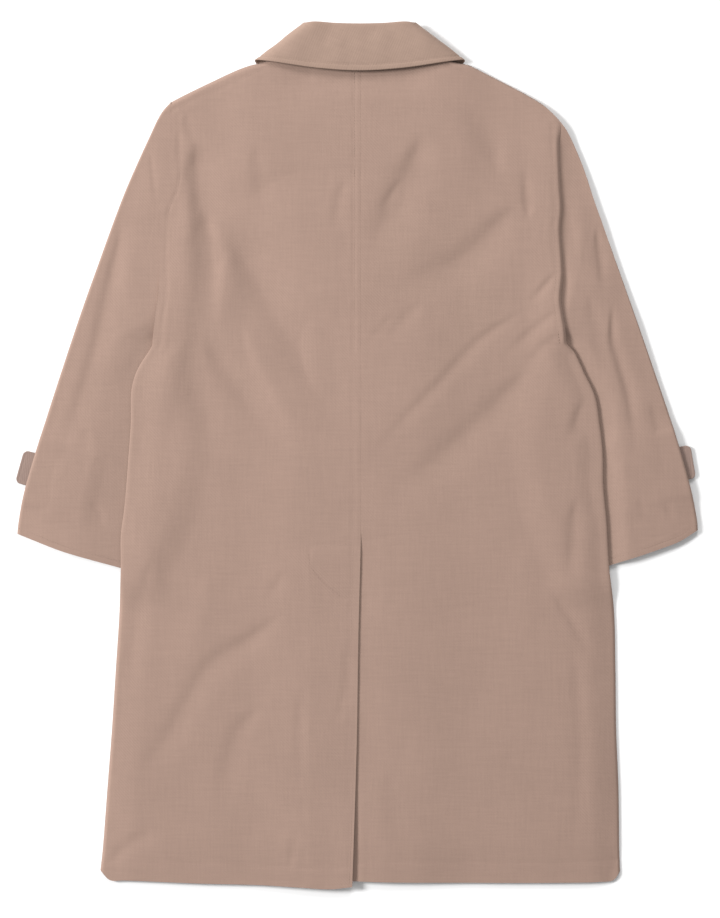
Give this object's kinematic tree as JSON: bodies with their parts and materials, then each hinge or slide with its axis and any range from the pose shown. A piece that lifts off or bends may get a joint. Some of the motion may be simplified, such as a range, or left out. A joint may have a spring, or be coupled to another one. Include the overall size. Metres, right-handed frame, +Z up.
{
  "type": "overcoat",
  "caption": "Cotton overcoat laid flat, face down, with a fall-down collar, a centre back vent, set-in sleeves and tabbed cuffs.",
  "frame": {"origin": "middle of the coat's footprint, on the surface that it lies on", "axes": "+X across, towards the wearer's right side; +Y along the back towards the collar; +Z up, out of the coat's back"},
  "size_m": [0.8876, 1.1274, 0.0178],
  "materials": {
    "cloth": "taupe cotton gabardine, matt with a faint sheen",
    "button": "brown horn-like resin, satin"
  },
  "bodies": {
    "root": {"back_left": "cloth", "back_right": "cloth", "front_left": "cloth", "front_right": "cloth", "sleeve_left": "cloth", "sleeve_right": "cloth", "collar_fall": "cloth", "collar_stand": "cloth", "tab_left": "cloth", "tab_right": "cloth", "button_1": "button", "button_2": "button", "button_3": "button", "button_4": "button", "tab_button_left": "button", "tab_button_right": "button"}
  },
  "joints": []
}
